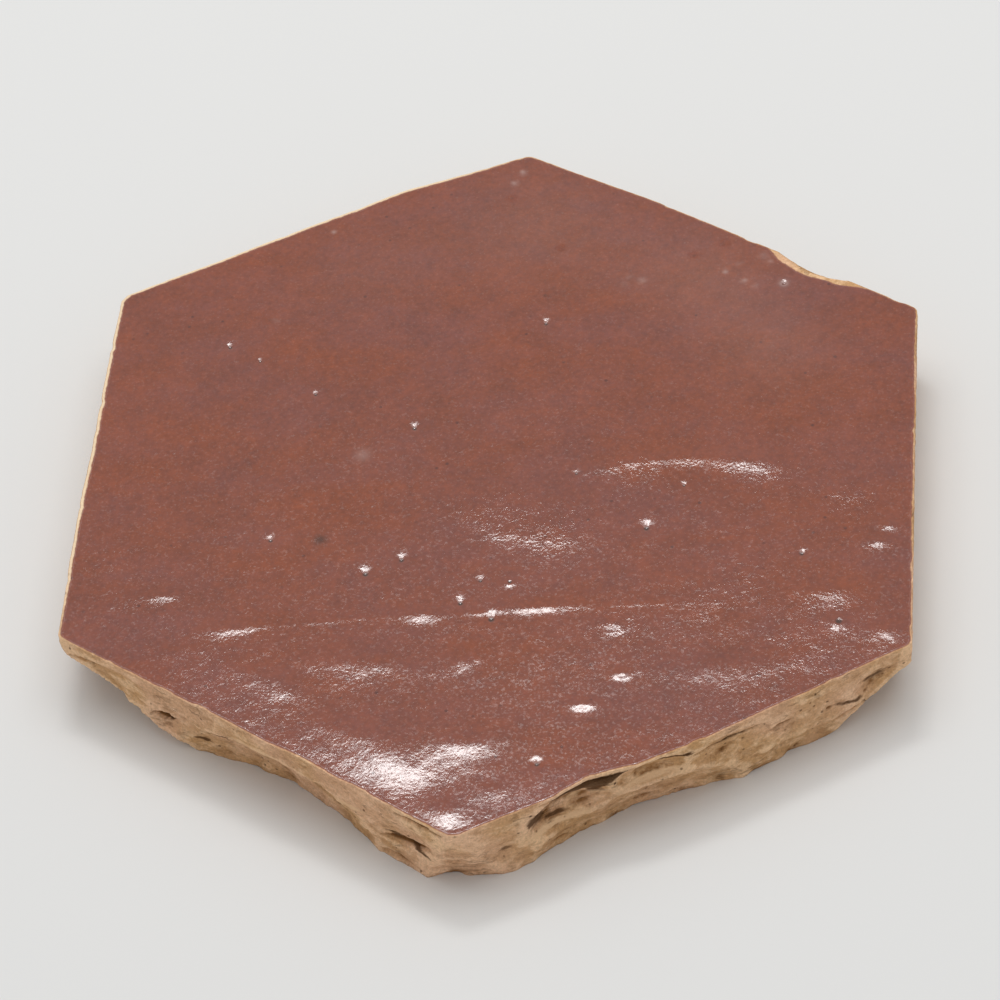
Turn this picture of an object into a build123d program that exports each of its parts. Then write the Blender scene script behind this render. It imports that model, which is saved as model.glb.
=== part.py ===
"""Hand-cut hexagonal zellige tile: one slab of fired clay, glazed on its face.

The tile lies on its flat back. X runs across two flats and Y from corner to corner, with the
front corner at -Y. Every side is one or two strokes of a cutting hammer, so it bows and leans a
little. Below the struck band, the clay has broken away in shell-shaped flakes and has opened
along its layers.
"""
from build123d import *
from dataclasses import dataclass
import math
import os

# The slab, in millimetres
ACROSS_FLATS = 120.0
THICKNESS = 12.5

# The glazed face: a low crown with slow waves, as clay patted flat by hand keeps them
CROWN_RISE = 0.35
WAVE_RISE = 0.05
WAVE_LENGTH_X = 74.0
WAVE_LENGTH_Y = 58.0
FACE_GRID_STEPS = 12

# The slab's margin round the tile, which the cuts take off
SLAB_MARGIN = 12.0

# A regular hexagon's corners lie as far from its centre as its sides are long
SIDE_LENGTH = ACROSS_FLATS / math.sqrt(3)

# The slab's width. The waste beyond a cut is a block twice as wide, and as deep as the slab is wide
SLAB_WIDTH = 2 * (SIDE_LENGTH + SLAB_MARGIN)

ON_BACK = (Align.CENTER, Align.CENTER, Align.MIN)
FROM_AXIS = (Align.MIN, Align.CENTER)


@dataclass
class Stroke:
    """One hammer stroke down a side."""

    share: float
    """Place along the side: 0 at its clockwise corner, 1 at the other."""
    proud: float
    """How far the stroke stands outside the true side there, at the face."""
    yaw: float
    """Turn about the vertical, in degrees: above 0, the cut falls back towards share 1."""
    lean: float
    """Undercut in degrees: above 0, the cut runs in under the face."""


@dataclass
class Break:
    """One corner's foot, broken away in a plane."""

    height: float
    """Height of the break's start at the corner, above the back."""
    yaw: float
    """Turn of the break from the corner's own direction, in degrees."""
    lean: float
    """Undercut in degrees."""


@dataclass
class Flake:
    """One shell-shaped flake off a side."""

    share: float
    height: float
    """Height of the flake's middle above the back."""
    wide: float
    tall: float
    deep: float


@dataclass
class Split:
    """One crack along the clay's layers."""

    share: float
    height: float
    long: float
    gape: float
    deep: float
    tilt: float
    """Fall of the crack towards share 1, in degrees."""


# Each side is keyed by the direction that it faces, in degrees from +X
RIGHT, REAR_RIGHT, REAR_LEFT, LEFT, FRONT_LEFT, FRONT_RIGHT = range(0, 360, 60)

STROKES = {
    RIGHT: [Stroke(0.50, 0.05, 0.2, 3.0)],
    REAR_RIGHT: [Stroke(0.35, -0.85, -0.9, 3.0), Stroke(0.84, -1.00, 2.5, 4.0)],
    REAR_LEFT: [Stroke(0.15, 0.25, -7.5, 4.0), Stroke(0.62, 1.70, -0.3, 2.5)],
    LEFT: [Stroke(0.40, 0.45, -0.3, 3.0), Stroke(0.88, 0.30, 2.0, 2.0)],
    FRONT_LEFT: [Stroke(0.50, -0.10, -1.6, 1.0)],
    FRONT_RIGHT: [Stroke(0.26, 0.55, -2.0, 2.0), Stroke(0.77, 0.45, 2.6, 2.0)],
}

# Flakes on the two sides that meet at the front corner, from the clockwise corner on
FRONT_FLAKES = {
    FRONT_LEFT: [
        Flake(0.14, 8.6, 12.0, 5.0, 0.6),
        Flake(0.30, 4.6, 11.0, 6.0, 0.8),
        Flake(0.53, 0.5, 36.0, 17.0, 3.3),
        Flake(0.62, 10.0, 17.0, 5.0, 0.6),
        Flake(0.86, 6.2, 11.0, 6.0, 0.7),
    ],
    FRONT_RIGHT: [
        Flake(0.06, 4.4, 8.0, 4.5, 0.6),
        Flake(0.25, 7.2, 15.0, 9.2, 2.4),
        Flake(0.29, 12.0, 12.5, 3.4, 0.9),
        Flake(0.40, 9.2, 13.0, 5.2, 1.7),
        Flake(0.39, 0.0, 34.0, 14.0, 2.8),
        Flake(0.58, 8.6, 15.0, 5.0, 0.7),
        Flake(0.79, 0.5, 13.0, 7.0, 0.7),
        Flake(0.93, 7.2, 9.0, 6.0, 1.1),
    ],
}

# The other four sides carry flakes of one kind, at uneven places
PLAIN_FLAKE = Flake(0.0, 1.0, 21.0, 12.0, 1.0)
PLAIN_FLAKE_COUNT = 3
PLAIN_FLAKE_SWAY = 0.3
PLAIN_FLAKE_TURN = 137.5

SPLITS = {
    FRONT_LEFT: [
        Split(0.06, 9.8, 7.0, 0.8, 1.5, 8.0),
        Split(0.245, 5.4, 4.6, 2.1, 2.3, 4.0),
        Split(0.38, 6.6, 9.5, 0.8, 1.7, 5.0),
        Split(0.86, 4.8, 9.5, 1.4, 2.4, 8.0),
        Split(0.90, 11.0, 9.0, 0.9, 1.7, 0.0),
    ],
    FRONT_RIGHT: [
        Split(0.32, 10.9, 23.0, 1.5, 2.9, -2.0),
        Split(0.58, 9.4, 15.0, 0.9, 1.7, 0.0),
        Split(0.71, 7.6, 5.0, 0.8, 1.0, 2.0),
        Split(0.86, 3.8, 8.0, 1.0, 1.6, 12.0),
    ],
}

# Each corner is keyed by the direction that it points, in degrees from +X. Its nip is how far in
# from the true corner its point is cut off, below 0 where the strokes leave the corner proud
NIPS = {30: 0.95, 90: 1.60, 150: -0.80, 210: 0.80, 270: -0.15, 330: 0.30}
NIP_LEAN = 3.0

# Under each corner the clay is broken away to the back
CORNER_BREAKS = {
    30: Break(7.0, -4.0, 36.0),
    90: Break(8.0, 5.0, 30.0),
    150: Break(7.5, -3.0, 38.0),
    210: Break(9.9, 6.0, 46.0),
    270: Break(12.0, 3.0, 14.0),
    330: Break(8.7, 0.0, 38.0),
}

# A flake's rim is at most this round, as a share of its radius in plan
ROUNDEST_RIM = 0.95

# The long chip in the glaze's edge on the rear right side
CHIP_SHARE = 0.25
CHIP_LONG = 15.0
CHIP_ACROSS = 5.0
CHIP_DEEP = 1.6
CHIP_LEAN = 45.0


def heading(degrees, lean=0.0):
    """Returns the unit vector that faces outward at an angle from +X, turned down by a lean."""
    flat = math.cos(math.radians(lean))
    angle = math.radians(degrees)
    return Vector(flat * math.cos(angle), flat * math.sin(angle), -math.sin(math.radians(lean)))


def side_point(side, share, proud=0.0, height=THICKNESS):
    """Returns the point on a true side at a share of its length, at a height above the back."""
    outward = heading(side) * (ACROSS_FLATS / 2 + proud)
    return outward + heading(side + 90) * SIDE_LENGTH * (share - 0.5) + Vector(0, 0, height)


def corner_point(corner, height):
    """Returns the point of a true corner at a height above the back."""
    return heading(corner) * SIDE_LENGTH + Vector(0, 0, height)


def arc_radius(chord, rise):
    """Returns the radius of the arc that has this chord and rise."""
    return (chord**2 / 4 + rise**2) / (2 * rise)


def face_height(x, y):
    """Returns the height of the glazed face above a point of the back."""
    half = ACROSS_FLATS / 2
    crown = -CROWN_RISE * (x**2 + y**2) / half**2
    wave = math.sin(math.tau * x / WAVE_LENGTH_X + y / WAVE_LENGTH_Y)
    cross_wave = math.sin(math.tau * y / WAVE_LENGTH_Y - x / WAVE_LENGTH_X)
    return THICKNESS + crown + WAVE_RISE * (wave + cross_wave)


def make_slab():
    """Makes the rolled slab: a flat back under the wavy glazed face."""
    reach = SLAB_WIDTH / 2
    places = [reach * (2 * step / FACE_GRID_STEPS - 1) for step in range(FACE_GRID_STEPS + 1)]
    rows = [[(x, y, face_height(x, y)) for x in places] for y in places]
    above = extrude(Face.make_surface_from_array_of_points(rows), 2 * THICKNESS, dir=(0, 0, 1))
    width = SLAB_WIDTH - SLAB_MARGIN
    return Box(width, width, 2 * THICKNESS, align=ON_BACK) - above


def cut_off(body, point, outward):
    """Cuts away all that lies outside the plane through a point, as one stroke does."""
    waste = Box(2 * SLAB_WIDTH, 2 * SLAB_WIDTH, SLAB_WIDTH, align=ON_BACK)
    return body - Plane(origin=point, z_dir=outward) * waste


def flake_waste(wide, tall, deep):
    """Makes the waste of a flake: a round-rimmed disc whose rim takes the shell-shaped bite.

    The bite's deepest point is at the origin, and the disc lies along +X from there.
    """
    plan_radius = arc_radius(wide, deep)
    rim_radius = min(arc_radius(tall, deep), ROUNDEST_RIM * plan_radius)
    rim = Pos(plan_radius - rim_radius) * Circle(rim_radius)
    hub = Rectangle(plan_radius - rim_radius, 2 * rim_radius, align=FROM_AXIS)
    profile = (rim + hub) & Rectangle(plan_radius, 2 * rim_radius, align=FROM_AXIS)
    return Pos(plan_radius) * revolve(Plane.XZ * profile, Axis.Z)


def split_waste(long, gape, deep):
    """Makes the waste of a crack: a disc with a knife edge, placed as a flake's waste is."""
    radius = arc_radius(long, deep)
    rise = gape / 2 * radius / deep
    cone = Cone(radius, 0, rise, align=ON_BACK)
    return Pos(radius) * (cone + mirror(cone, Plane.XY))


def set_in(waste, surface_point, outward, deep, roll=0.0):
    """Places a flake's or crack's waste so that it bites this deep into the surface."""
    level = Vector(0, 0, 1).cross(outward)
    seat = Plane(origin=surface_point - outward * deep, x_dir=outward, z_dir=outward.cross(level))
    return seat * Rot(X=roll) * waste


def side_surface(side, share, height):
    """Returns the point of a cut side at a share of its length and a height, and its outward."""
    best = None
    for stroke in STROKES[side]:
        outward = heading(side + stroke.yaw, stroke.lean)
        start = side_point(side, stroke.share, stroke.proud)
        probe = side_point(side, share, height=height)
        run = (start - probe).dot(outward) / heading(side).dot(outward)
        point = probe + heading(side) * run
        if best is None or run < best[0]:
            best = (run, point, outward)
    return best[1], best[2]


def plain_flakes(side):
    """Lists the flakes of a side at the rear, spaced unevenly so that no two sides match."""
    flakes = []
    for count in range(PLAIN_FLAKE_COUNT):
        sway = PLAIN_FLAKE_SWAY * math.sin(math.radians(PLAIN_FLAKE_TURN * (count + 1) + side))
        share = (count + 0.5 + sway) / PLAIN_FLAKE_COUNT
        size = 1 + sway
        flake = PLAIN_FLAKE
        flakes.append(
            Flake(share, flake.height, flake.wide * size, flake.tall * size, flake.deep * size)
        )
    return flakes


def make_tile():
    """Makes the tile: the slab, cut to six sides, nipped, broken at its foot and split."""
    tile = make_slab()
    for side, strokes in STROKES.items():
        for stroke in strokes:
            start = side_point(side, stroke.share, stroke.proud)
            tile = cut_off(tile, start, heading(side + stroke.yaw, stroke.lean))
    for corner, depth in NIPS.items():
        point = corner_point(corner, THICKNESS) - heading(corner) * depth
        tile = cut_off(tile, point, heading(corner, NIP_LEAN))

    for corner, foot in CORNER_BREAKS.items():
        start = corner_point(corner, foot.height)
        tile = cut_off(tile, start, heading(corner + foot.yaw, foot.lean))
    for side in STROKES:
        for flake in FRONT_FLAKES.get(side) or plain_flakes(side):
            point, outward = side_surface(side, flake.share, flake.height)
            waste = flake_waste(flake.wide, flake.tall, flake.deep)
            tile -= set_in(waste, point, outward, flake.deep)
    for side, splits in SPLITS.items():
        for crack in splits:
            point, outward = side_surface(side, crack.share, crack.height)
            waste = split_waste(crack.long, crack.gape, crack.deep)
            tile -= set_in(waste, point, outward, crack.deep, crack.tilt)

    arris = side_surface(REAR_RIGHT, CHIP_SHARE, THICKNESS)[0]
    chip = flake_waste(CHIP_LONG, CHIP_ACROSS, CHIP_DEEP)
    tile -= set_in(chip, arris, heading(REAR_RIGHT, -CHIP_LEAN), CHIP_DEEP)
    return tile.solids().sort_by(SortBy.VOLUME)[-1]


os.makedirs("parts", exist_ok=True)
export_step(make_tile(), "parts/hexagon_tile.step")
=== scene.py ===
import math
from collections import namedtuple
from itertools import accumulate

import bmesh
import bpy
from bpy.props import FloatProperty, FloatVectorProperty, IntProperty, PointerProperty
from mathutils import Matrix, Vector, noise
from mathutils.bvhtree import BVHTree


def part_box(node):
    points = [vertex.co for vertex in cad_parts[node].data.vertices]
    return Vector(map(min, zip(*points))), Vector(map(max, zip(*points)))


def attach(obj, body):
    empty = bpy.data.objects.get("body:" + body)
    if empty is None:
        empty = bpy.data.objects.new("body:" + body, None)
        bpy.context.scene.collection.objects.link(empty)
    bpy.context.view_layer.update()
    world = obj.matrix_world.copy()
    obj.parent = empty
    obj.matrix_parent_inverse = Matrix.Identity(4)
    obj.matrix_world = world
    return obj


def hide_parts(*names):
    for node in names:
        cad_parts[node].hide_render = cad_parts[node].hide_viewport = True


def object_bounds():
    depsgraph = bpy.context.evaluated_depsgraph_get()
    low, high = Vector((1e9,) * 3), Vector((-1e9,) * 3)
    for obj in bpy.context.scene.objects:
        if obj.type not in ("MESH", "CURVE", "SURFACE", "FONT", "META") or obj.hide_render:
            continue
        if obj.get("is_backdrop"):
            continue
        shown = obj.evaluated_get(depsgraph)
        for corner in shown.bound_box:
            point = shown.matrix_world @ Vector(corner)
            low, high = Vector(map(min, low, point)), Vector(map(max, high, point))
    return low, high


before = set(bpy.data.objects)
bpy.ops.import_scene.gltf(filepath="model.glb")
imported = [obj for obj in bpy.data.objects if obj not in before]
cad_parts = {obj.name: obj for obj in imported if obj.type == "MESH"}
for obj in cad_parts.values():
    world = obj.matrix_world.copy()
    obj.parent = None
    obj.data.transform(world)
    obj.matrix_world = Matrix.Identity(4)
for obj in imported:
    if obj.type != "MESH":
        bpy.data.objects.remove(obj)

bl_info = {
    "name": "Hexagon zellige tile",
    "version": (1, 0, 0),
    "blender": (4, 5, 0),
    "location": "View3D > Sidebar > Zellige",
    "description": "Hand-cut hexagonal zellige tile with a glazed face and broken clay sides",
    "category": "Add Mesh",
}

# The tile's node and body in the frame, its material, and the name of the piece made here
NODE = "hexagon_tile"
BODY = "root"
SLOT = "glazed_clay"
PIECE = "glazed_tile"

# The shape is worked out in millimetres and written in metres
MM = 0.001
SIDES = 6
SIDE_LENGTH = 69.3

# The floor is a square that reaches this far either side of the tile, in metres
FLOOR_REACH = 3.0

# The wide light overhead stands a little behind the tile, clear of the glaze's mirror view
CEILING_HEIGHT = math.radians(77.0)
CEILING_DISTANCE = 1.3
CEILING_WIDTH = 1.6
CEILING_DEPTH = 0.9

# A lead glaze bends light more than window glass does
GLAZE_IOR = 1.65

# Colours within the glaze: its pale specks, dark flecks, thin edge, dark spots and the painted shade
# in its pinholes, and pale spots and the painted sheen of its wide pale clouds
SPECK = (0.50, 0.27, 0.20)
FLECK = (0.06, 0.024, 0.022)
THIN_EDGE = (0.46, 0.20, 0.12)
SPOT_AND_PINHOLE_SHADE = (0.07, 0.030, 0.020)
PALE_SPOT_AND_SHEEN = (0.46, 0.32, 0.29)

# Colours within the clay: its rosy areas, and the dark of its cracks and pores, which also paints
# shade in its deepest hollows and in the dark streaks on its sides
ROSY_CLAY = (0.80, 0.485, 0.335)
CRACK_AND_SHADE = (0.085, 0.034, 0.010)

# How far from its middle a mound's shape shows, in its half sizes
SHOWS_ALONG = 1.5
SHOWS_ACROSS = 1.8

# A pinhole's own width as a share of the raised skin's, and its depth in millimetres
HOLE_SHARE = 0.42
HOLE_DEPTH = 0.12

# Attributes that carry the shape to the materials: the distance in from the glaze's edge, or below 0
# down the wall, how far a place of the wall lies behind its surroundings, how far the wall lies in
# under the edge, marks in the glaze and on the walls, dark above 0 and pale below, which also carry
# painted shade in the pinholes and on the walls and a painted sheen on the glaze, how much coarser
# than elsewhere the glaze's grain is, and how pale the clay is along the edge, a painted highlight
INWARD = "inward"
HOLLOW = "hollow"
UNDERCUT = "undercut"
MARKS_AND_PAINTED_LIGHT = "marks_and_painted_light"
FROST = "frost"
LIT_RIM = "rim"

# One soft mound on the glazed face: its middle, half length, half width, turn in degrees and rise
Swell = namedtuple("Swell", "x y long wide turn rise")

# One pinhole in the glaze: its middle, the half width of the skin that rises round it, or sinks
# where the rise is below 0, and how far the hole lies towards the front
Pit = namedtuple("Pit", "x y wide rise forward")

# One mark in the glaze: its middle, half width and strength, dark above 0 and pale below
Mark = namedtuple("Mark", "x y wide strength")

# Mounds that catch the light on their front flanks, from the front corner to the rear
SWELLS = [
    Swell(-8.0, -52.0, 11.0, 4.80, 3, 0.216),
    Swell(-14.6, -51.6, 4.6, 2.40, -14, 0.189),
    Swell(-10.4, -56.2, 5.2, 3.00, -20, 0.216),
    Swell(-0.8, -53.0, 4.6, 1.90, 6, 0.099),
    Swell(-20.0, -49.2, 3.6, 1.80, -20, 0.090),
    Swell(-2.2, -65.0, 2.1, 2.00, 4, 0.171),
    Swell(4.4, -61.2, 2.8, 1.50, 20, 0.054),
    Swell(20.0, -42.0, 20.0, 8.00, 27, -0.120),
    Swell(15.1, -45.6, 1.9, 1.00, 4, 0.150),
    Swell(20.2, -39.9, 1.1, 0.90, 0, 0.150),
    Swell(-16.7, -38.2, 6.5, 1.89, -4, 0.134),
    Swell(-27.9, -42.2, 5.0, 1.89, -28, 0.145),
    Swell(-2.1, -37.6, 3.0, 1.68, 0, 0.112),
    Swell(34.0, -38.6, 8.0, 2.52, 3, 0.134),
    Swell(49.5, -24.1, 4.0, 1.99, 8, 0.165),
    Swell(57.1, -31.6, 2.4, 1.47, 8, 0.134),
    Swell(55.2, -14.6, 1.8, 1.00, 0, 0.148),
    Swell(56.6, -11.4, 1.6, 0.85, 0, 0.128),
    Swell(5.1, -9.4, 8.5, 4.40, -16, 0.480),
    Swell(-2.4, -6.9, 4.5, 1.80, -10, 0.160),
    Swell(-46.1, -25.5, 3.0, 1.00, 0, 0.118),
]

# Wrinkles in the glaze, each a few thin ridges end to end
WRINKLES = [
    Swell(-35.3, -31.7, 4.2, 1.25, 9, 0.126),
    Swell(-23.2, -30.5, 8.0, 0.44, 6, 0.027),
    Swell(-8.8, -29.1, 3.2, 1.25, 4, 0.151),
    Swell(-1.1, -28.8, 3.0, 0.50, 4, 0.038),
    Swell(7.4, -27.6, 5.5, 1.00, 4, 0.126),
    Swell(23.0, -26.9, 8.0, 0.44, 3, 0.025),
    Swell(18.7, -30.9, 1.6, 0.80, -20, 0.072),
    Swell(15.4, -0.1, 5.5, 1.20, 15, 0.088),
    Swell(25.0, 1.6, 6.5, 1.40, 2, 0.122),
    Swell(35.5, 1.2, 5.5, 2.00, -6, 0.222),
]

PITS = [
    Pit(3.4, -23.0, 0.73, 0.117, -0.2),
    Pit(-3.3, -26.5, 0.88, -0.137, 0.4),
    Pit(1.3, -29.3, 1.10, -0.166, 0.5),
    Pit(-17.3, -20.9, 0.96, -0.146, 0.3),
    Pit(-12.4, -18.2, 0.88, -0.137, 0.3),
    Pit(-0.8, -22.4, 0.67, -0.078, 0.2),
    Pit(22.1, -11.9, 1.02, -0.176, 0.3),
    Pit(44.3, -16.9, 0.67, -0.098, 0.2),
    Pit(49.8, -30.1, 1.18, 0.185, -0.1),
    Pit(-31.6, -14.5, 0.73, -0.117, 0.2),
    Pit(-12.9, 8.0, 0.81, -0.166, 0.2),
    Pit(-28.2, 15.1, 0.59, -0.137, 0.1),
    Pit(-42.2, 25.4, 0.73, -0.166, 0.2),
    Pit(-37.3, 22.2, 0.51, -0.107, 0.1),
    Pit(4.8, 30.0, 0.73, -0.166, 0.2),
    Pit(39.8, 38.7, 0.67, -0.176, 0.1),
    Pit(9.6, -56.2, 0.81, -0.137, 0.2),
    Pit(27.0, -3.7, 0.51, -0.098, 0.1),
    Pit(11.4, -1.4, 0.51, -0.098, 0.1),
]

# Places where the glaze's grain is coarser, or finer where the strength is below 0
FROSTS = [
    Mark(1.2, -9.4, 4.60, 1.30),
    Mark(8.1, -13.4, 4.20, 1.50),
    Mark(13.7, -7.6, 3.00, 0.80),
    Mark(20.0, -0.4, 4.20, 1.20),
    Mark(38.5, -0.8, 4.40, 1.00),
    Mark(51.0, -6.1, 3.60, 1.40),
    Mark(36.4, -21.3, 4.00, 0.60),
    Mark(19.1, -30.3, 2.60, 1.20),
    Mark(30.8, -26.3, 3.40, 0.90),
    Mark(48.4, -25.7, 4.50, 0.80),
    Mark(55.8, -32.3, 4.00, 0.80),
    Mark(45.2, -34.5, 5.00, 0.80),
    Mark(-18.4, -39.1, 4.00, 0.40),
    Mark(-29.5, -44.0, 5.00, 0.45),
    Mark(-37.5, -38.0, 7.00, 0.65),
    Mark(-23.4, -51.5, 7.00, 0.15),
    Mark(-50.5, -26.3, 4.00, 0.50),
    Mark(-55.8, -18.6, 4.00, 0.60),
    Mark(9.0, -56.0, 8.00, -0.55),
    Mark(22.0, -47.0, 12.00, -0.42),
    Mark(4.0, -45.0, 9.00, -0.40),
]

# Marks in the glaze: small dark and pale spots, and four wide pale clouds at the rear, which are a
# painted sheen, the glaze's reflection of the bright room
MARKS = [
    Mark(-24.4, -14.5, 1.10, 0.80),
    Mark(-20.0, 2.4, 1.50, -0.35),
    Mark(39.0, 24.7, 12.00, -0.15),
    Mark(28.0, 41.0, 13.00, -0.16),
    Mark(2.0, 52.0, 17.00, -0.17),
    Mark(-25.0, 42.0, 13.00, -0.10),
    Mark(36.6, 44.7, 0.90, -0.22),
    Mark(37.6, 43.4, 0.50, -0.30),
    Mark(18.6, 39.2, 0.70, -0.26),
    Mark(16.6, 40.0, 0.50, -0.24),
    Mark(16.0, 38.4, 0.60, -0.20),
    Mark(31.0, 41.2, 0.45, -0.45),
    Mark(33.8, 39.1, 0.40, -0.50),
    Mark(35.6, 37.9, 0.35, -0.45),
    Mark(33.1, 43.0, 0.35, -0.35),
    Mark(39.8, 38.7, 0.70, -0.60),
    Mark(30.5, 47.4, 0.60, 0.60),
    Mark(26.1, 44.8, 0.45, 0.80),
    Mark(5.9, 46.5, 0.45, 0.60),
    Mark(-8.4, 64.2, 0.60, 0.80),
    Mark(-1.1, 63.7, 0.50, -0.60),
    Mark(-2.2, 61.2, 0.50, -0.50),
    Mark(-2.4, 57.8, 0.50, 0.60),
    Mark(-29.2, 50.6, 0.45, -0.50),
    Mark(-43.3, 36.2, 0.40, 0.60),
    Mark(-35.9, 30.9, 0.40, -0.50),
    Mark(-9.2, 31.6, 0.80, 0.25),
    Mark(4.3, 35.9, 0.40, 0.70),
]

# One mark on a cut side: its middle as a turn in sides and a height, its half length and half
# height, its fall towards the next corner in degrees, and its strength, as a mark in the glaze has
Streak = namedtuple("Streak", "turn height long tall fall strength")

# Marks on the cut sides: the dark ones are painted shade, under the glaze's lip on the front right
# side and in hollows of the front sides, and those below 0 are pale
STREAKS = [
    Streak(5.260, 10.5, 4.2, 0.75, -3, 1.30),
    Streak(5.360, 10.9, 3.6, 0.65, 0, 1.30),
    Streak(5.270, 8.6, 7.0, 2.20, 0, 0.52),
    Streak(5.460, 10.6, 3.4, 0.45, 4, 1.00),
    Streak(5.160, 8.0, 1.3, 1.50, 0, 0.90),
    Streak(5.210, 6.0, 2.6, 0.50, 12, 0.70),
    Streak(5.250, 7.9, 1.7, 1.30, 0, -0.90),
    Streak(5.300, 9.0, 1.4, 0.45, -20, 0.70),
    Streak(5.200, 4.9, 6.0, 0.55, 4, -0.90),
    Streak(5.420, 7.6, 5.0, 0.50, -3, -0.90),
    Streak(5.110, 5.0, 3.4, 0.60, -8, 0.60),
    Streak(5.590, 9.5, 3.0, 0.40, 0, 0.90),
    Streak(5.860, 6.0, 3.0, 0.50, 14, 0.80),
    Streak(5.930, 8.2, 2.2, 0.90, 0, 0.70),
    Streak(4.870, 4.9, 4.6, 0.34, 8, 0.94),
    Streak(4.910, 11.0, 4.4, 0.32, 0, 0.78),
    Streak(4.245, 5.4, 1.6, 0.54, 4, 1.01),
    Streak(4.385, 6.6, 2.4, 0.41, 5, 0.86),
    Streak(4.330, 3.4, 1.6, 0.50, 5, 0.86),
    Streak(4.500, 9.0, 6.0, 0.50, 2, -0.60),
    Streak(4.700, 7.0, 6.0, 0.60, -4, -0.60),
]


class TileSettings(bpy.types.PropertyGroup):
    """Sizes and colours of the tile."""

    side_steps: IntProperty(
        name="Steps a side",
        description="Triangles of the glazed face along one side",
        default=96,
        min=8,
    )
    wall_rows: IntProperty(
        name="Wall rows",
        description="Rows of the mesh up a cut side",
        default=42,
        min=4,
    )
    edge_round: FloatProperty(
        name="Edge rounding",
        description="Width of the softened edge between the glaze and the cut",
        default=0.12 * MM,
        unit="LENGTH",
    )
    edge_nibble: FloatProperty(
        name="Edge nibbles",
        description="Depth of the small bites along the edge of the glaze",
        default=0.50 * MM,
        unit="LENGTH",
    )
    lump_depth: FloatProperty(
        name="Lump depth",
        description="Depth of the rounded hollows in the broken clay",
        default=0.55 * MM,
        unit="LENGTH",
    )
    layer_depth: FloatProperty(
        name="Layer depth",
        description="Depth of the steps between the clay's layers",
        default=0.42 * MM,
        unit="LENGTH",
    )
    wave_rise: FloatProperty(
        name="Glaze waves",
        description="Rise of the slow uneven waves in the glaze",
        default=0.02 * MM,
        unit="LENGTH",
    )
    glaze_red: FloatVectorProperty(
        name="Glaze, red areas",
        description="Colour of the glaze where it is redder",
        default=(0.246, 0.060, 0.0235),
        subtype="COLOR",
        size=3,
    )
    glaze_mauve: FloatVectorProperty(
        name="Glaze, mauve areas",
        description="Colour of the glaze where it is cooler",
        default=(0.190, 0.0585, 0.0425),
        subtype="COLOR",
        size=3,
    )
    clay_buff: FloatVectorProperty(
        name="Clay",
        description="Colour of the freshly broken clay",
        default=(0.575, 0.33, 0.155),
        subtype="COLOR",
        size=3,
    )
    # The pale colour is also painted on the raised parts as light
    clay_pale: FloatVectorProperty(
        name="Clay, pale",
        description="Colour of the clay's pale streaks and raised parts",
        default=(0.83, 0.545, 0.318),
        subtype="COLOR",
        size=3,
    )
    # The stained colour also paints the shade in the hollows and under the glaze's edge
    clay_stain_and_shade: FloatVectorProperty(
        name="Clay, stained",
        description="Colour of the clay in its hollows",
        default=(0.26, 0.118, 0.040),
        subtype="COLOR",
        size=3,
    )
    # The rim's cream colour is a painted highlight where the light from behind catches the clay edge
    lit_clay_rim: FloatVectorProperty(
        name="Clay, rim",
        description="Colour of the thin line of clay that shows round the glaze",
        default=(0.88, 0.68, 0.46),
        subtype="COLOR",
        size=3,
    )
    rim_width: FloatProperty(
        name="Clay rim",
        description="Width of the clay that shows round the glaze on the sides where it is widest",
        default=0.26 * MM,
        unit="LENGTH",
    )


class StageSettings(bpy.types.PropertyGroup):
    """The floor, the lights and the camera."""

    floor_colour: FloatVectorProperty(
        name="Floor",
        description="Colour of the floor",
        default=(0.725, 0.725, 0.715),
        subtype="COLOR",
        size=3,
    )
    sky_strength: FloatProperty(
        name="Room light",
        description="Strength of the even light from all round",
        default=0.54,
    )
    ceiling_power: FloatProperty(
        name="Ceiling power",
        description="Power of the wide soft light overhead",
        default=8.1,
        unit="POWER",
    )
    lamp_power: FloatProperty(
        name="Softbox power",
        description="Power of the softbox behind the tile",
        default=2.45,
        unit="POWER",
    )
    lamp_azimuth: FloatProperty(
        name="Softbox direction",
        description="Where the softbox stands, counted from straight behind the tile to the left",
        default=math.radians(11.0),
        subtype="ANGLE",
    )
    lamp_height: FloatProperty(
        name="Softbox height",
        description="Height of the softbox above the horizon, as seen from the tile",
        default=math.radians(62.3),
        subtype="ANGLE",
    )
    lamp_distance: FloatProperty(
        name="Softbox distance",
        description="Distance from the tile to the softbox",
        default=1.2,
        unit="LENGTH",
    )
    lamp_width: FloatProperty(
        name="Softbox width",
        description="Width of the softbox",
        default=0.33,
        unit="LENGTH",
    )
    lamp_depth: FloatProperty(
        name="Softbox depth",
        description="Other width of the softbox",
        default=0.18,
        unit="LENGTH",
    )
    camera_azimuth: FloatProperty(
        name="Camera direction",
        description="Where the camera stands, counted from the front corner to the right",
        default=math.radians(9.06),
        subtype="ANGLE",
    )
    camera_height: FloatProperty(
        name="Camera height",
        description="Height of the camera above the horizon, as seen from the tile",
        default=math.radians(45.5),
        subtype="ANGLE",
    )
    camera_distance: FloatProperty(
        name="Camera distance",
        description="Distance from the tile to the camera",
        default=0.677,
        unit="LENGTH",
    )
    camera_roll: FloatProperty(
        name="Camera roll",
        description="Turn of the camera about its line of sight",
        default=math.radians(-6.5),
        subtype="ANGLE",
    )
    camera_lens: FloatProperty(
        name="Lens",
        description="Focal length on a sensor 36 mm wide",
        default=168.0,
    )


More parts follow.
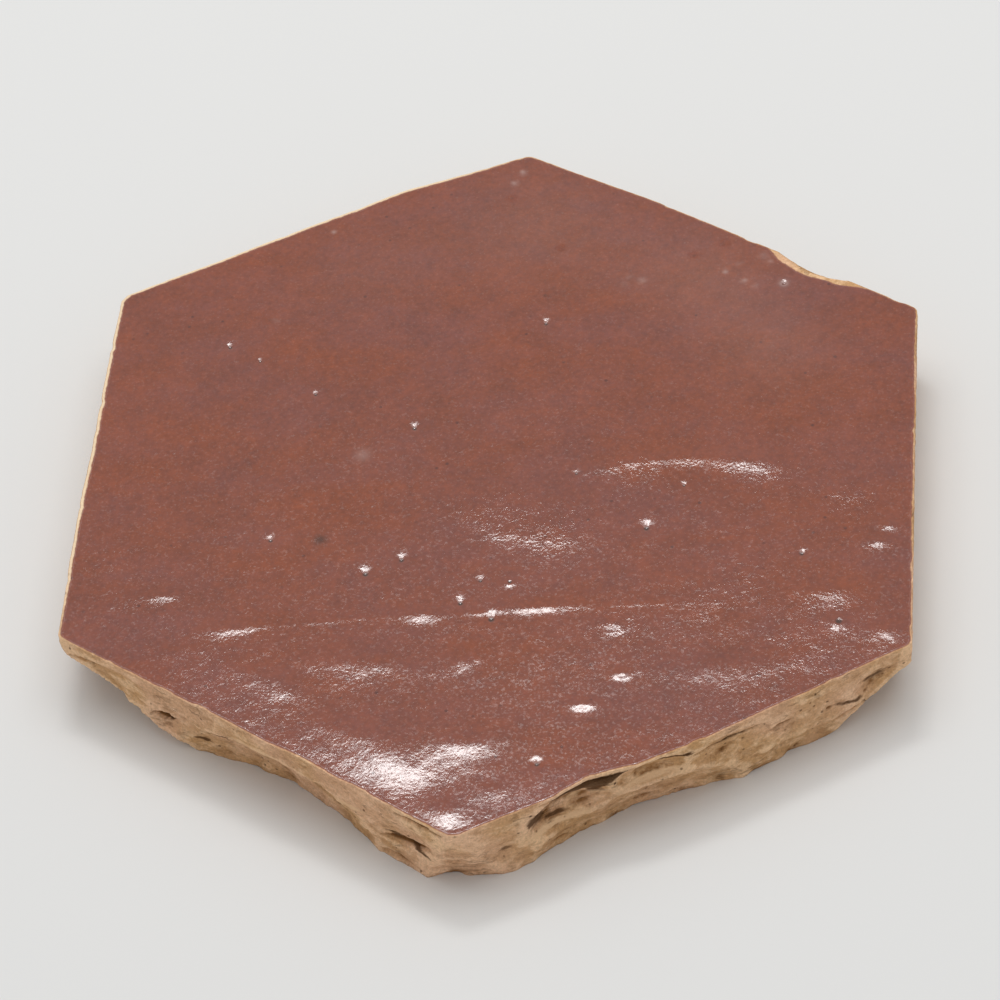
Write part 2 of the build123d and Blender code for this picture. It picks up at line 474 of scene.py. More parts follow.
class Socket:
    """A node's output that takes part in Python arithmetic by adding Math nodes."""

    def __init__(self, graph, output):
        self.graph = graph
        self.output = output

    def math(self, operation, *values):
        """Adds one Math node on these values, which may be sockets or numbers."""
        made = self.graph.node("ShaderNodeMath", {"operation": operation}, dict(enumerate(values)))
        return made["Value"]

    def __add__(self, other):
        return self.math("ADD", self, other)

    __radd__ = __add__

    def __sub__(self, other):
        return self.math("SUBTRACT", self, other)

    def __rsub__(self, other):
        return self.math("SUBTRACT", other, self)

    def __mul__(self, other):
        return self.math("MULTIPLY", self, other)

    __rmul__ = __mul__

    def fold(self, middle):
        """Gives the distance from a middle value."""
        return self.math("ABSOLUTE", self - middle)

    def ramp(self, low, high):
        """Rises smoothly from 0 at the low value to 1 at the high one."""
        settings = {"interpolation_type": "SMOOTHSTEP"}
        sockets = {"Value": self, "From Min": low, "From Max": high}
        return self.graph.node("ShaderNodeMapRange", settings, sockets)["Result"]


class Graph:
    """Builds one material's nodes."""

    def __init__(self, material):
        material.use_nodes = True
        self.tree = material.node_tree
        self.tree.nodes.clear()

    def node(self, kind, settings=None, sockets=None):
        """Adds a node, sets it up, feeds its sockets, and returns its outputs by name."""
        made = self.tree.nodes.new(kind)
        for name, value in (settings or {}).items():
            setattr(made, name, value)
        for key, value in (sockets or {}).items():
            if isinstance(key, int):
                target = made.inputs[key]
            else:
                target = next(s for s in made.inputs if s.enabled and s.name == key)
            if isinstance(value, Socket):
                self.tree.links.new(value.output, target)
            else:
                target.default_value = value
        return {out.name: Socket(self, out) for out in made.outputs if out.enabled}

    def attribute(self, name):
        """Reads one of the mesh's own values."""
        return self.node("ShaderNodeAttribute", {"attribute_name": name})["Fac"]

    def places(self, stretch=(1.0, 1.0, 1.0)):
        """Gives the place on the object in millimetres, divided by a stretch along each axis."""
        place = self.node("ShaderNodeTexCoord")["Object"]
        scale = tuple(1 / MM / s for s in stretch)
        settings = {"operation": "MULTIPLY"}
        return self.node("ShaderNodeVectorMath", settings, {0: place, 1: scale})["Vector"]

    def noise(self, size, detail=2.0, roughness=0.5, stretch=(1.0, 1.0, 1.0), shift=0.0):
        """Noise from 0 to 1 whose features are about this many millimetres across."""
        settings = {"noise_dimensions": "4D"}
        sockets = {
            "Vector": self.places(stretch),
            "W": shift,
            "Scale": 1 / size,
            "Detail": detail,
            "Roughness": roughness,
        }
        return self.node("ShaderNodeTexNoise", settings, sockets)["Fac"]

    def cells(self, size, shift=(0.0, 0.0, 0.0)):
        """Distance to the nearest of many scattered points, in their mean spacing."""
        place = self.node(
            "ShaderNodeVectorMath", {"operation": "ADD"}, {0: self.places(), 1: shift}
        )
        sockets = {"Vector": place["Vector"], "Scale": 1 / size}
        return self.node("ShaderNodeTexVoronoi", None, sockets)["Distance"]

    def mix(self, share, first, second, blend="MIX"):
        """Mixes two colours by a share from 0 to 1."""
        settings = {"data_type": "RGBA", "blend_type": blend}
        sockets = {"Factor": share, "A": colour(first), "B": colour(second)}
        return self.node("ShaderNodeMix", settings, sockets)["Result"]

    def bump(self, relief):
        """Turns a relief in millimetres into a normal."""
        return self.node("ShaderNodeBump", None, {"Distance": MM, "Height": relief})["Normal"]

    def surface(self, sockets):
        """Adds a surface shader."""
        return self.node("ShaderNodeBsdfPrincipled", None, sockets)["BSDF"]

    def finish(self, surface):
        """Adds the output."""
        self.node("ShaderNodeOutputMaterial", None, {"Surface": surface})


def colour(value):
    """Gives a plain colour its alpha, and leaves a link as it is."""
    return value if isinstance(value, Socket) else (*value[:3], 1.0)


def heading(degrees):
    """Returns the level unit vector at an angle from +X."""
    angle = math.radians(degrees)
    return Vector((math.cos(angle), math.sin(angle), 0.0))


def smooth_step(low, high, value):
    """Rises smoothly from 0 at the low value to 1 at the high one."""
    share = min(max((value - low) / (high - low), 0.0), 1.0)
    return share * share * (3 - 2 * share)


def smoothed(ring, reach):
    """Averages each value of a closed ring with its neighbours, up to a reach either side."""
    sums = [0.0, *accumulate(ring[-reach:] + ring + ring[:reach])]
    wide = 2 * reach + 1
    return [(sums[place + wide] - sums[place]) / wide for place in range(len(ring))]


def perimeter_heading(turn):
    """Returns the heading of a place on the true hexagon.

    The turn is counted in sides, from where the right side starts.
    """
    side, share = divmod(turn, 1.0)
    facing = 360 / SIDES * side
    half = math.tan(math.pi / SIDES)
    return (heading(facing) + heading(facing + 90) * half * (2 * share - 1)).normalized()


class CutTile:
    """Reads the cut tile's surface by rays, in millimetres."""

    # Rays start this far out, and none runs lower than this. The edge is the widest place at the
    # probes' heights, and its own height is read this far in from it
    REACH = 100.0
    LOWEST = 0.02
    WALL_PROBES = (11.0, 11.4, 11.8)
    EDGE_INSET = 0.3

    def __init__(self, node):
        mesh = node.data
        points = [vertex.co / MM for vertex in mesh.vertices]
        self.tree = BVHTree.FromPolygons(points, [tuple(face.vertices) for face in mesh.polygons])

    def radius(self, way, height):
        """Returns how far the wall is from the tile's axis, along a heading and at a height."""
        start = way * self.REACH + Vector((0.0, 0.0, max(height, self.LOWEST)))
        hit = self.tree.ray_cast(start, -way)[0]
        return math.hypot(hit.x, hit.y)

    def face(self, x, y):
        """Returns the height of the face above a place, and how level the face is there."""
        start = Vector((x, y, self.REACH))
        place, normal = self.tree.ray_cast(start, Vector((0.0, 0.0, -1.0)))[:2]
        return place.z, abs(normal.z)

    def edge(self, way):
        """Returns the radius and the height of the glaze's edge along a heading."""
        radius = max(self.radius(way, height) for height in self.WALL_PROBES)
        inside = way * (radius - self.EDGE_INSET)
        return radius, self.face(inside.x, inside.y)[0]


# Depths of the broken clay's knobs, grain and pores, and how far behind the solid's cut it all
# stays, in millimetres
KNOB_DEPTH = 0.30
GRAIN_DEPTH = 0.12
PORE_DEPTH = 0.5
CUT_CLEARANCE = 0.09


def clay_depth(place, rise, settings):
    """Returns how far the broken clay lies behind the hammer's cut, in millimetres.

    rise is the height up the wall from 0 to 1. The band under the glaze stays nearly whole.
    """
    rough = 1.0 - 0.85 * smooth_step(0.45, 0.85, rise + 0.18 * noise.noise(place / 11.0))
    lump = 0.5 + 0.5 * noise.fractal(place / 8.0, 0.9, 2.1, 3)
    warp = 0.9 * noise.noise(place / 6.0)
    layer = noise.noise(Vector((place.x / 10.0, place.y / 10.0, place.z / 1.6 + warp)))
    zone = smooth_step(-0.15, 0.3, noise.noise(place / 14.0 + Vector((7.0, 3.0, 1.0))))
    step = smooth_step(-0.05, 0.12, layer)
    knob = noise.fractal(place / 3.2 + Vector((3.0, 8.0, 5.0)), 0.9, 2.0, 2)
    fine = noise.fractal(place / 1.2, 0.8, 2.0, 3)
    pore = noise.voronoi(place / 2.4)[0][0]
    hole = smooth_step(0.22, 0.05, pore) * smooth_step(0.0, 0.4, noise.noise(place / 4.0))
    broken = settings.lump_depth / MM * lump + settings.layer_depth / MM * zone * step
    small = GRAIN_DEPTH * fine + PORE_DEPTH * hole
    return rough * (broken + KNOB_DEPTH * knob) + small + CUT_CLEARANCE


def nibble_depth(place, settings):
    """Returns the depth of the bites along the glaze's edge, in millimetres."""
    bite = smooth_step(0.15, 0.55, noise.noise(place / 3.0 + Vector((0.0, 0.0, 20.0))))
    wear = 0.5 + 0.5 * noise.noise(place / 0.9)
    bow = 0.5 + 0.5 * noise.noise(place / 9.0 + Vector((0.0, 0.0, 40.0)))
    return settings.edge_nibble / MM * (0.45 * bite + 0.20 * wear + 0.70 * bow)


class TileMesh:
    """Collects the tile's mesh in millimetres."""

    # The face is glazed where it is at least this level, and BARE marks a place far from the glaze
    LEVEL = 0.93
    BARE = -10.0

    # How far below the glaze's edge the wall starts for the materials, and how much less where the
    # pale line of clay shows, which is widest towards a heading in degrees and fades out between
    # two cosines of the angle to it. The line is bare clay, and its cream colour is a painted
    # highlight where the light from behind and the left catches the edge
    WALL_DROP = 1.2
    RIM_LIFT = 0.78
    RIM_HEADING = 150.0
    RIM_FADE = (0.40, 0.72)

    # The long chip: its heading and half width in degrees, and how far in it bares the clay
    CHIP_HEADING = 43.3
    CHIP_SPAN = 8.2
    CHIP_BARE = 1.6

    # How many columns and rows either side count as a place's surroundings on the wall
    HOLLOW_COLUMNS = 9
    HOLLOW_ROWS = 4

    # How far in from the edge the outer triangles of the face and of the back end, and how many
    # times coarser the back is
    FACE_INSET = 0.45
    BACK_INSET = 0.8
    BACK_COARSER = 4
    BACK_DENT = 0.25

    # A mound thinner than this is meshed finely, and so is this much round each pinhole
    THIN = 1.2
    PIT_MARGIN = 0.6

    # The glaze lies this far below the solid's face, and its waves fade out this near the edge
    GLAZE_SINK = 0.03
    WAVE_FADE = 1.5

    def __init__(self, settings):
        self.settings = settings
        self.cut = CutTile(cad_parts[NODE])
        self.mesh = bmesh.new()
        names = (INWARD, HOLLOW, UNDERCUT, MARKS_AND_PAINTED_LIGHT, FROST, LIT_RIM)
        self.layers = {name: self.mesh.verts.layers.float.new(name) for name in names}
        self.steps = settings.side_steps
        self.columns = 2 * SIDES * self.steps
        turns = [column * SIDES / self.columns for column in range(self.columns)]
        self.ways = [perimeter_heading(turn) for turn in turns]
        self.edges = [self.cut.edge(way) for way in self.ways]

    def vertex(self, place, inward=0.0, undercut=0.0):
        """Adds one vertex with what the materials need to know of it."""
        made = self.mesh.verts.new(place)
        made[self.layers[INWARD]] = inward
        made[self.layers[UNDERCUT]] = undercut
        return made

    def wall_ring(self, row):
        """Adds one ring of the cut sides, from the back's edge at row 0 upward."""
        ring = []
        for column, (edge_radius, edge_height) in enumerate(self.edges):
            way = self.ways[column]
            rise = row / self.settings.wall_rows
            height = (edge_height - self.settings.edge_round / MM) * rise
            radius = self.cut.radius(way, height)
            place = way * radius + Vector((0.0, 0.0, height))
            depth = clay_depth(place, rise, self.settings)
            edge_share = smooth_step(0.9, 1.0, rise)
            corner = way * edge_radius + Vector((0.0, 0.0, edge_height))
            depth += (nibble_depth(corner, self.settings) - depth) * edge_share
            place -= way * depth
            below = height - edge_height - self.WALL_DROP + self.RIM_LIFT * self.rim(way)
            vertex = self.vertex(place, below, edge_radius - radius)
            vertex[self.layers[LIT_RIM]] = self.rim(way)
            turn = column * SIDES / self.columns
            vertex[self.layers[MARKS_AND_PAINTED_LIGHT]] = sum(streak_strength(s, turn, height) for s in STREAKS)
            ring.append(vertex)
        return ring

    def mark_hollows(self, rings):
        """Notes how far each place of the wall lies behind the mean of the places round it."""
        depths = [[-math.hypot(vertex.co.x, vertex.co.y) for vertex in ring] for ring in rings]
        smooth = [smoothed(row, self.HOLLOW_COLUMNS) for row in depths]
        for row, ring in enumerate(rings):
            near = smooth[max(row - self.HOLLOW_ROWS, 0) : row + self.HOLLOW_ROWS + 1]
            for column, vertex in enumerate(ring):
                mean = sum(line[column] for line in near) / len(near)
                vertex[self.layers[HOLLOW]] = depths[row][column] - mean

    def edge_ring(self):
        """Adds the ring where the softened edge meets the glazed face."""
        ring = []
        inset = self.settings.edge_round / MM
        for way, (radius, height) in zip(self.ways, self.edges):
            corner = way * radius + Vector((0.0, 0.0, height))
            depth = inset + nibble_depth(corner, self.settings)
            vertex = self.vertex(corner - way * depth, -self.bare(way))
            vertex[self.layers[LIT_RIM]] = self.rim(way)
            ring.append(vertex)
        return ring

    def rim(self, way):
        """Returns how much of the pale line of clay shows along a heading, from 0 to 1."""
        return smooth_step(*self.RIM_FADE, way.dot(heading(self.RIM_HEADING)))

    def bare(self, way):
        """Returns the width of the bare clay between the edge and the glaze along a heading."""
        off = math.degrees(way.angle(heading(self.CHIP_HEADING))) / self.CHIP_SPAN
        chip = self.CHIP_BARE * smooth_step(1.0, 0.5, off)
        return self.settings.rim_width / MM * self.rim(way) + chip

    def band(self, low, high):
        """Joins two rings of as many vertices with quads."""
        count = len(low)
        for this in range(count):
            following = (this + 1) % count
            self.mesh.faces.new((low[this], low[following], high[following], high[this]))

    def lattice(self, outline, steps, inset, place_at, upward):
        """Fills an outline with triangles in six sectors, and joins them to the outline's ring.

        outline is the ring of vertices round it, and steps the triangles along a side.
        place_at gives the surface at a place, and whether it is glazed.
        """
        stride = len(outline) // (SIDES * steps)
        rims = [vertex.co.copy() for vertex in outline]

        def rim(turn):
            """Returns the outline's place at a turn counted in sides."""
            position = turn * steps * stride
            first = int(position) % len(rims)
            share = position - int(position)
            return rims[first].lerp(rims[(first + 1) % len(rims)], share)

        middle, glazed = place_at(0.0, 0.0, 0.0)
        rings = [[self.vertex(middle, -self.BARE if glazed else self.BARE)]]
        for ring in range(1, steps + 1):
            reach = ring / steps
            made = []
            for number in range(SIDES * ring):
                place = rim(number / ring)
                flat = math.hypot(place.x, place.y)
                share = reach * (flat - inset) / flat
                point, glazed = place_at(place.x * share, place.y * share, share)
                way = place.xy.normalized().to_3d()
                inward = flat * (1 - share) - self.bare(way)
                vertex = self.vertex(point, inward if glazed else self.BARE)
                vertex[self.layers[LIT_RIM]] = self.rim(way)
                made.append(vertex)
            rings.append(made)

        def face(*corners):
            self.mesh.faces.new(corners if upward else corners[::-1])

        for ring in range(1, steps + 1):
            outer, inner = rings[ring], rings[ring - 1]
            for side in range(SIDES):
                for step in range(ring):
                    first = outer[side * ring + step]
                    second = outer[(side * ring + step + 1) % len(outer)]
                    base = inner[(side * (ring - 1) + step) % len(inner)]
                    face(first, second, base)
                    if step:
                        before = inner[side * (ring - 1) + step - 1]
                        face(first, base, before)
        last = rings[-1]
        half = stride // 2
        for number, first in enumerate(last):
            second = last[(number + 1) % len(last)]
            run = [outline[(number * stride + step) % len(outline)] for step in range(stride + 1)]
            for step in range(stride):
                face(first if step < half else second, run[step], run[step + 1])
            face(first, run[half], second)
        return [vertex for ring in rings for vertex in ring]

    def refine(self, vertices):
        """Divides the face finely along each wrinkle and round each pit and small mound."""
        near = set()
        thin = WRINKLES + [swell for swell in SWELLS if swell.wide < self.THIN]
        for vertex in vertices:
            x, y = vertex.co.x, vertex.co.y
            at_pit = any(near_pit(pit, x, y, self.PIT_MARGIN) for pit in PITS)
            if at_pit or any(near_swell(swell, x, y) for swell in thin):
                near.update(vertex.link_edges)
        bmesh.ops.subdivide_edges(self.mesh, edges=list(near), cuts=2, use_grid_fill=True)

    def shape_face(self):
        """Raises and sinks the glazed face into its mounds, waves and pits."""
        for vertex in self.mesh.verts:
            inward = vertex[self.layers[INWARD]]
            if inward <= 0.0:
                continue
            x, y = vertex.co.x, vertex.co.y
            edge_share = smooth_step(0.0, self.WAVE_FADE, inward)
            wave = noise.fractal(Vector((x / 13.0, y / 9.0, 4.0)), 0.9, 2.0, 3)
            rise = self.settings.wave_rise / MM * wave
            for swell in SWELLS + WRINKLES:
                rise += swell_height(swell, x, y)
            for pit in PITS:
                rise += pit_height(pit, x, y)
            vertex.co.z += rise * edge_share - self.GLAZE_SINK
            # The glaze's marks, with a painted sheen among the pale ones, and the painted shade in
            # each pinhole
            marks = sum(mark_strength(mark, x, y) for mark in MARKS)
            vertex[self.layers[MARKS_AND_PAINTED_LIGHT]] = marks + sum(pit_hole(pit, x, y) for pit in PITS)
            vertex[self.layers[FROST]] = sum(mark_strength(mark, x, y) for mark in FROSTS)

    def build(self):
        """Makes the closed mesh of the whole tile."""
        rings = [self.wall_ring(row) for row in range(self.settings.wall_rows + 1)]
        rings.append(self.edge_ring())
        for low, high in zip(rings, rings[1:]):
            self.band(low, high)
        self.mark_hollows(rings[:-1])

        def face_place(x, y, share):
            height, level = self.cut.face(x, y)
            return Vector((x, y, height)), level > self.LEVEL

        def back_place(x, y, share):
            dent = smooth_step(-0.2, 0.5, noise.noise(Vector((x / 13.0, y / 13.0, 9.0))))
            height = self.BACK_DENT * dent * smooth_step(1.0, 0.9, share)
            return Vector((x, y, height)), False

        back_steps = self.steps // self.BACK_COARSER
        top = self.lattice(rings[-1], self.steps, self.FACE_INSET, face_place, True)
        self.lattice(rings[0], back_steps, self.BACK_INSET, back_place, False)
        self.refine(top)
        self.shape_face()

        low, high = (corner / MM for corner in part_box(NODE))
        for vertex in self.mesh.verts:
            for axis in range(3):
                vertex.co[axis] = min(max(vertex.co[axis], low[axis]), high[axis])
            vertex.co *= MM
        mesh = bpy.data.meshes.new(PIECE)
        self.mesh.to_mesh(mesh)
        self.mesh.free()
        mesh.shade_smooth()
        return mesh


def swell_place(swell, x, y):
    """Returns a place's distances from a mound's middle, along and across it, in its half sizes."""
    turn = math.radians(swell.turn)
    along = (x - swell.x) * math.cos(turn) + (y - swell.y) * math.sin(turn)
    across = (y - swell.y) * math.cos(turn) - (x - swell.x) * math.sin(turn)
    return along / swell.long, across / swell.wide


def swell_height(swell, x, y):
    """Returns the height of a mound at a place."""
    along, across = swell_place(swell, x, y)
    return swell.rise * math.exp(-(along**2) - across**2)


def near_swell(swell, x, y):
    """Tells whether a place is where a mound's shape shows."""
    along, across = swell_place(swell, x, y)
    return abs(along) < SHOWS_ALONG and abs(across) < SHOWS_ACROSS


def near_pit(pit, x, y, margin):
    """Tells whether a place is on the skin round a pinhole, or within a margin of it."""
    return math.hypot(x - pit.x, y - pit.y) < 2 * pit.wide + margin


def pit_height(pit, x, y):
    """Returns the rise of the skin round a pinhole at a place."""
    away = math.hypot(x - pit.x, y - pit.y) / pit.wide
    return pit.rise * math.exp(-(away**2)) - HOLE_DEPTH * pit_hole(pit, x, y)


# A pinhole's hole, which sinks the glaze and also paints its shade into the glaze's colour
def pit_hole(pit, x, y):
    """Returns 1 in the middle of a pinhole and 0 outside it."""
    away = math.hypot(x - pit.x, y - pit.y + pit.forward * pit.wide) / pit.wide
    return math.exp(-((away / HOLE_SHARE) ** 4))


def mark_strength(mark, x, y):
    """Returns the strength of a mark at a place."""
    away = math.hypot(x - mark.x, y - mark.y) / mark.wide
    return mark.strength * math.exp(-(away**2))


def streak_strength(streak, turn, height):
    """Returns the strength of a mark on a cut side at a place."""
    run = (turn - streak.turn) * SIDE_LENGTH
    fall = math.radians(streak.fall)
    rise = height - streak.height
    along = (run * math.cos(fall) - rise * math.sin(fall)) / streak.long
    across = (rise * math.cos(fall) + run * math.sin(fall)) / streak.tall
    return streak.strength * math.exp(-(along**4) - across**2)


def glaze_colour(graph, settings):
    """Builds the glaze's colour: slow clouds, a fine grain, sparse dark and pale flecks, dark and
    pale spots, painted shade in the pinholes and a painted sheen at the rear.
    """
    clouds = graph.noise(17.0, 4.0, 0.6, (1.4, 1.0, 1.0)).ramp(0.36, 0.64)
    dapple = graph.noise(1.3, 3.0, 0.6, shift=43.0).ramp(0.36, 0.64)
    bands = graph.noise(6.5, 3.0, 0.55, (2.4, 1.0, 1.0), 67.0).ramp(0.38, 0.62)
    share = 0.35 * clouds + 0.37 * bands + 0.28 * dapple
    tint = graph.mix(share, settings.glaze_red, settings.glaze_mauve)
    grain = graph.noise(0.7, 3.0, 0.65, shift=3.0)
    blotch = graph.noise(4.5, 3.0, 0.6, shift=6.0)
    light = 0.36 + 0.76 * grain + 0.44 * blotch + 0.08 * bands
    tint = graph.mix(1.0, tint, brightness(graph, light), "MULTIPLY")
    specks = 1.0 - graph.cells(1.0, (5.0, 2.0, 0.0)).ramp(0.08, 0.20)
    tint = graph.mix(0.12 * specks, tint, SPECK)
    zone = graph.noise(9.0, 2.0, 0.5, shift=31.0).ramp(0.42, 0.58)
    flecks = 1.0 - graph.cells(3.4).ramp(0.04, 0.11)
    tint = graph.mix(0.6 * flecks * zone, tint, FLECK)
    thin = 1.0 - graph.attribute(INWARD).ramp(0.0, 0.22)
    tint = graph.mix(0.6 * thin, tint, THIN_EDGE)
    marks_and_painted_light = graph.attribute(MARKS_AND_PAINTED_LIGHT)
    # Dark spots, and the painted shade in each pinhole's hole
    tint = graph.mix(marks_and_painted_light.ramp(0.0, 1.0), tint, SPOT_AND_PINHOLE_SHADE)
    # Pale marks lighten the glaze: pale spots, and wide clouds at the rear that are a painted sheen
    patchy = 0.6 + 0.8 * graph.noise(2.6, 4.0, 0.7, shift=57.0)
    return graph.mix((patchy * (0.0 - marks_and_painted_light)).ramp(0.0, 1.0), tint, PALE_SPOT_AND_SHEEN)


def brightness(graph, light):
    """Turns one number into a grey to multiply by."""
    return graph.node("ShaderNodeCombineXYZ", None, {"X": light, "Y": light, "Z": light})["Vector"]


def clay_lines(graph):
    """Builds thin dark lines where the clay has opened along its layers: 1 on a line."""
    fold = graph.noise(2.4, 3.0, 0.55, (2.6, 2.6, 0.9), 29.0).fold(0.5)
    zone = graph.noise(4.0, 2.0, 0.5, shift=37.0).ramp(0.52, 0.64)
    return (1.0 - fold.ramp(0.0, 0.040)) * zone


def clay_colour(graph, settings, lines):
    """Builds the clay's colour: buff, with pale ridges, darker hollows, cracks and dark pores; the
    ridges' paleness is painted light, and the dark in the hollows, under the glaze's edge and in the
    sides' streaks is painted shade mixed with real stains.
    """
    hollow = graph.attribute(HOLLOW)
    streaks = graph.noise(2.6, 4.0, 0.7, (1.3, 1.3, 0.7))
    # Raised parts are painted paler, as if lit
    ridge = (0.0 - hollow).ramp(0.0, 0.5)
    pale = (streaks + 0.35 * ridge).ramp(0.44, 0.66)
    tint = graph.mix(pale, settings.clay_buff, settings.clay_pale)
    rosy = graph.noise(12.0, 2.0, 0.5, shift=53.0).ramp(0.40, 0.60)
    tint = graph.mix(0.45 * rosy, tint, ROSY_CLAY)
    mottle = graph.noise(2.2, 4.0, 0.7, (1.3, 1.3, 0.8), 5.0).ramp(0.46, 0.70)
    # Painted shade in the hollows and under the glaze's edge, mixed with mottled stains
    sunk = hollow.ramp(0.08, 0.60)
    undercut = graph.attribute(UNDERCUT).ramp(0.8, 6.0)
    stain_and_shade = (0.46 * mottle + 0.95 * sunk + 0.30 * undercut).ramp(0.0, 1.0)
    tint = graph.mix(stain_and_shade, tint, settings.clay_stain_and_shade)
    grain = graph.noise(0.42, 3.0, 0.75, shift=8.0)
    tint = graph.mix(1.0, tint, brightness(graph, 0.43 + 1.14 * grain), "MULTIPLY")
    pores = 1.0 - graph.cells(2.1, (4.0, 1.0, 2.0)).ramp(0.06, 0.15)
    # Painted shade in the deepest hollows
    deep = hollow.ramp(0.7, 1.6)
    torn = 0.9 * graph.noise(0.9, 3.0, 0.6, (1.6, 1.6, 0.8), 41.0) - 0.45
    # The wall's marks: the dark ones are painted shade, the pale ones lighten the clay
    mark = graph.attribute(MARKS_AND_PAINTED_LIGHT)
    tint = graph.mix((torn - mark).ramp(0.15, 0.70), tint, settings.clay_pale)
    streak = (mark + torn).ramp(0.25, 0.75)
    dark = (0.35 * lines + 0.6 * pores + 0.6 * deep + 0.80 * streak).ramp(0.0, 1.0)
    return graph.mix(dark, tint, CRACK_AND_SHADE)


def make_glaze(graph, settings):
    """Makes the glaze's shader: mirror-like, with a fine grain that scatters the lamp's image."""
    grain = graph.noise(0.37, 2.0, 0.6, shift=11.0)
    ripple = graph.noise(1.6, 2.0, 0.5, shift=13.0)
    dimple = graph.noise(3.4, 1.0, 0.5, shift=47.0)
    bowls = graph.cells(0.42, (3.0, 6.0, 9.0))
    coarse = 1.0 + graph.attribute(FROST)
    fine = 0.020 * grain + 0.048 * ripple + 0.006 * bowls * bowls
    dots = graph.noise(0.42, 2.0, 0.6, shift=23.0).ramp(0.50, 0.66)
    worn = 0.5 * graph.noise(0.8, 2.0, 0.6, shift=61.0) - 0.25
    edge = 1.0 - (graph.attribute(INWARD) + worn).ramp(0.14, 0.42)
    sockets = {
        "Base Color": glaze_colour(graph, settings),
        "Roughness": 0.11 + 0.14 * dots + 0.74 * edge,
        "IOR": GLAZE_IOR,
        "Normal": graph.bump(coarse * fine + 0.07 * dimple),
    }
    return graph.surface(sockets)


def make_clay(graph, settings):
    """Makes the shader of the broken clay, and of the thin line of clay round the glaze, painted
    cream as a highlight.
    """
    # The rim's clay is painted cream as a highlight on the rear and left edges
    rim = graph.attribute(INWARD).ramp(-0.42, -0.30) * graph.attribute(LIT_RIM)
    lines = clay_lines(graph) * (1.0 - rim)
    grit = graph.noise(0.50, 3.0, 0.7, shift=17.0)
    layers = graph.noise(1.4, 3.0, 0.6, (1.7, 1.7, 0.7), 19.0)
    pores = graph.cells(2.1, (4.0, 1.0, 2.0)).ramp(0.04, 0.17)
    relief = 0.22 * grit + 0.40 * layers + 0.12 * pores - 0.16 * lines
    sockets = {
        "Base Color": graph.mix(rim, clay_colour(graph, settings, lines), settings.lit_clay_rim),
        "Roughness": 0.9,
        "Specular IOR Level": 0.15,
        "Normal": graph.bump(relief),
    }
    return graph.surface(sockets)


def make_material(settings):
    """Makes the tile's one material: glaze on the face, bare clay on the sides and the back."""
    material = bpy.data.materials.new(SLOT)
    graph = Graph(material)
    ragged = 0.5 * graph.noise(1.1, 3.0, 0.65, shift=1.0) - 0.25
    glazed = (graph.attribute(INWARD) + ragged).ramp(-0.08, 0.22)
    shaders = {0: glazed, 1: make_clay(graph, settings), 2: make_glaze(graph, settings)}
    graph.finish(graph.node("ShaderNodeMixShader", None, shaders)["Shader"])
    return material


class ZELLIGE_OT_tile(bpy.types.Operator):
    """Makes the tile round the frame's solid"""

    bl_idname = "zellige.tile"
    bl_label = "Make the tile"

    def execute(self, context):
        settings = context.scene.zellige_tile
        tile = bpy.data.objects.new(PIECE, TileMesh(settings).build())
        context.scene.collection.objects.link(tile)
        tile.data.materials.append(make_material(settings))
        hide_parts(NODE)
        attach(tile, BODY)
        return {"FINISHED"}


def make_floor(settings):
    """Makes the pale floor that the tile lies on."""
    far = FLOOR_REACH
    corners = [(-far, -far, 0), (far, -far, 0), (far, far, 0), (-far, far, 0)]
    mesh = bpy.data.meshes.new("floor")
    mesh.from_pydata(corners, [], [(0, 1, 2, 3)])
    floor = bpy.data.objects.new("floor", mesh)
    bpy.context.scene.collection.objects.link(floor)
    material = bpy.data.materials.new("floor_paint")
    graph = Graph(material)
    graph.finish(graph.surface({"Base Color": colour(settings.floor_colour), "Roughness": 0.9}))
    mesh.materials.append(material)
    floor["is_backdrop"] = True


def place_round(target, azimuth, height, distance):
    """Returns the place at a direction from a target: azimuth from -Y towards +X, and height."""
    level = math.cos(height)
    back = Vector((math.sin(azimuth) * level, -math.cos(azimuth) * level, math.sin(height)))
    return target + back * distance


def make_lights(settings):
    """Makes the even room light, the softbox behind the tile and the wide light overhead."""
    world = bpy.data.worlds.new("room")
    world.use_nodes = True
    world.node_tree.nodes["Background"].inputs["Color"].default_value = (1.0, 1.0, 1.0, 1.0)
    world.node_tree.nodes["Background"].inputs["Strength"].default_value = settings.sky_strength
    bpy.context.scene.world = world

    azimuth = math.pi + settings.lamp_azimuth
    place = place_round(Vector(), azimuth, settings.lamp_height, settings.lamp_distance)
    make_lamp("softbox", settings.lamp_power, settings.lamp_width, settings.lamp_depth, place)
    place = place_round(Vector(), math.pi, CEILING_HEIGHT, CEILING_DISTANCE)
    make_lamp("ceiling", settings.ceiling_power, CEILING_WIDTH, CEILING_DEPTH, place)


def make_lamp(name, power, width, depth, place):
    """Makes one area lamp that faces the tile."""
    lamp = bpy.data.lights.new(name, "AREA")
    lamp.shape = "RECTANGLE"
    lamp.size = width
    lamp.size_y = depth
    lamp.energy = power
    holder = bpy.data.objects.new(name, lamp)
    holder.location = place
    holder.rotation_euler = (-place).to_track_quat("-Z", "Y").to_euler()
    bpy.context.scene.collection.objects.link(holder)


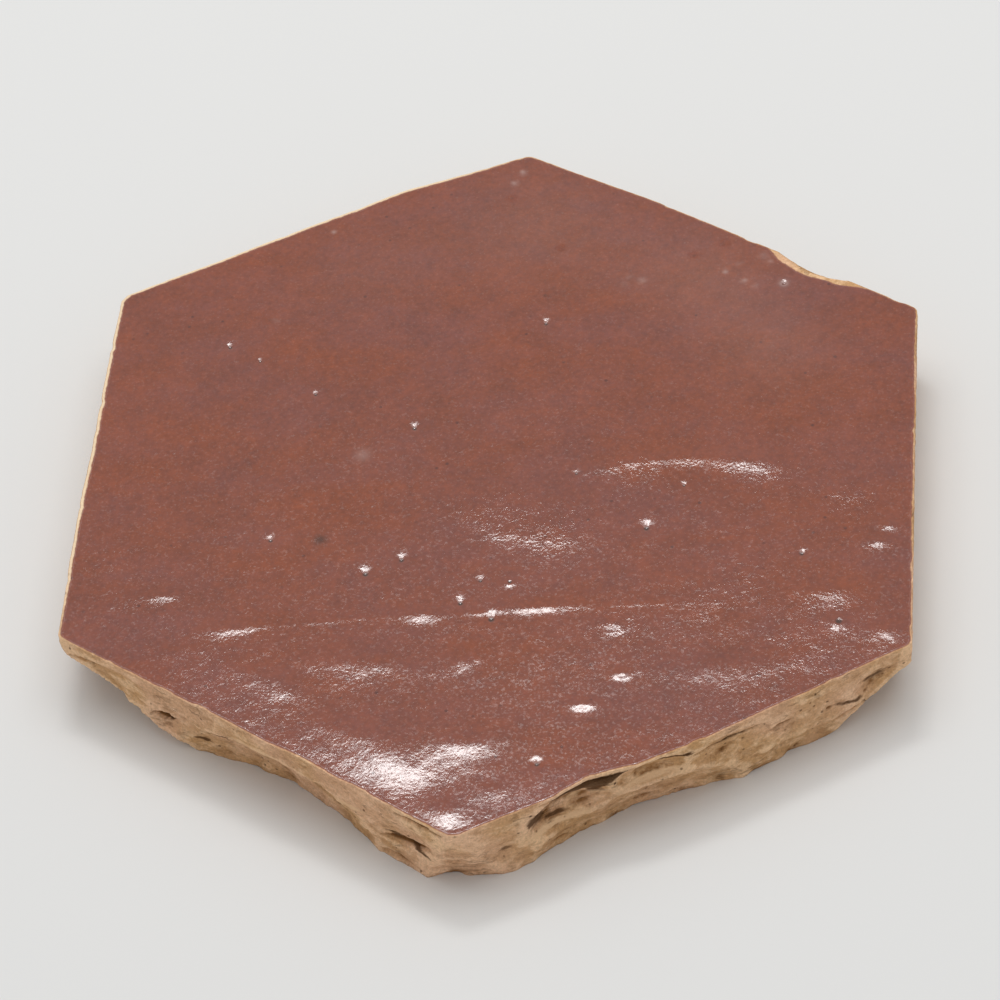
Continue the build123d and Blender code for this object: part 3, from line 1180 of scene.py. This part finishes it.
def make_camera(settings):
    """Makes the camera and points it at the middle of the tile."""
    low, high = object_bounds()
    target = (low + high) / 2
    azimuth, height = settings.camera_azimuth, settings.camera_height
    place = place_round(target, azimuth, height, settings.camera_distance)
    camera = bpy.data.objects.new("camera", bpy.data.cameras.new("camera"))
    camera.data.lens = settings.camera_lens
    aim = (target - place).to_track_quat("-Z", "Y").to_matrix()
    roll = Matrix.Rotation(settings.camera_roll, 3, "Z")
    camera.matrix_world = Matrix.Translation(place) @ (aim @ roll).to_4x4()
    bpy.context.scene.collection.objects.link(camera)
    bpy.context.scene.camera = camera


class ZELLIGE_OT_stage(bpy.types.Operator):
    """Makes the floor, the lights and the camera"""

    bl_idname = "zellige.stage"
    bl_label = "Make the stage"

    def execute(self, context):
        settings = context.scene.zellige_stage
        make_floor(settings)
        make_lights(settings)
        make_camera(settings)
        context.scene.view_settings.view_transform = "Standard"
        return {"FINISHED"}


class ZELLIGE_PT_panel(bpy.types.Panel):
    """Lists the sizes, the colours and the steps"""

    bl_idname = "ZELLIGE_PT_panel"
    bl_label = "Zellige tile"
    bl_space_type = "VIEW_3D"
    bl_region_type = "UI"
    bl_category = "Zellige"

    def draw(self, context):
        scene = context.scene
        for settings, operator in (
            (scene.zellige_tile, ZELLIGE_OT_tile),
            (scene.zellige_stage, ZELLIGE_OT_stage),
        ):
            box = self.layout.box()
            for name in settings.__annotations__:
                box.prop(settings, name)
            box.operator(operator.bl_idname)


CLASSES = (TileSettings, StageSettings, ZELLIGE_OT_tile, ZELLIGE_OT_stage, ZELLIGE_PT_panel)


def register():
    """Registers the classes and hangs the settings on the scene."""
    for item in CLASSES:
        bpy.utils.register_class(item)
    bpy.types.Scene.zellige_tile = PointerProperty(type=TileSettings)
    bpy.types.Scene.zellige_stage = PointerProperty(type=StageSettings)


def unregister():
    """Takes the settings and the classes away again."""
    del bpy.types.Scene.zellige_stage
    del bpy.types.Scene.zellige_tile
    for item in reversed(CLASSES):
        bpy.utils.unregister_class(item)


def main():
    """Makes the tile and its stage."""
    register()
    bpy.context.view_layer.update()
    bpy.ops.zellige.tile()
    bpy.ops.zellige.stage()


if __name__ == "__main__":
    main()
